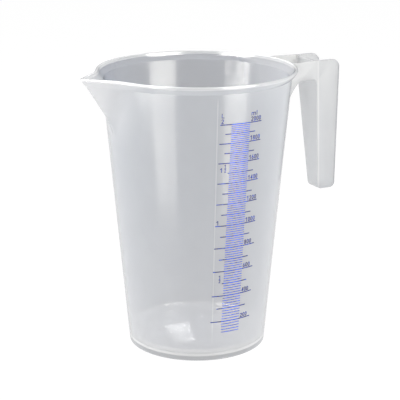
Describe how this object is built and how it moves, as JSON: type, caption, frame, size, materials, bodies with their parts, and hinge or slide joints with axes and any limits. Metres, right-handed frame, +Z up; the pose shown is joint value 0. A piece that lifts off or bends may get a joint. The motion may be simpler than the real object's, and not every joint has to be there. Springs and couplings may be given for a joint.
{
  "type": "measuring jug",
  "caption": "Open two-litre measuring jug in milky see-through plastic, with a V-shaped pouring spout, an open channel handle and a printed volume scale.",
  "frame": {"origin": "centre of the foot ring, in the plane that the jug stands on", "axes": "+Z up along the jug's axis, +X towards the handle, -X towards the spout, -Y towards the printed scale"},
  "size_m": [0.2149, 0.1512, 0.214],
  "materials": {
    "polypropylene": "milky, see-through natural polypropylene with a moulded gloss",
    "scale_ink": "blue screen-print ink, slightly uneven"
  },
  "bodies": {
    "root": {"jug_wall": "polypropylene", "jug_base": "polypropylene", "rim_flare": "polypropylene", "pouring_spout": "polypropylene", "handle_front_web": "polypropylene", "handle_back_web": "polypropylene", "handle_arm_plate": "polypropylene", "handle_grip_plate": "polypropylene", "handle_end_cap": "polypropylene", "handle_top_rib": "polypropylene", "scale_lines": "scale_ink", "litre_ticks": "scale_ink", "millilitre_ticks": "scale_ink", "litre_numerals": "scale_ink", "millilitre_numerals": "scale_ink"}
  },
  "joints": []
}
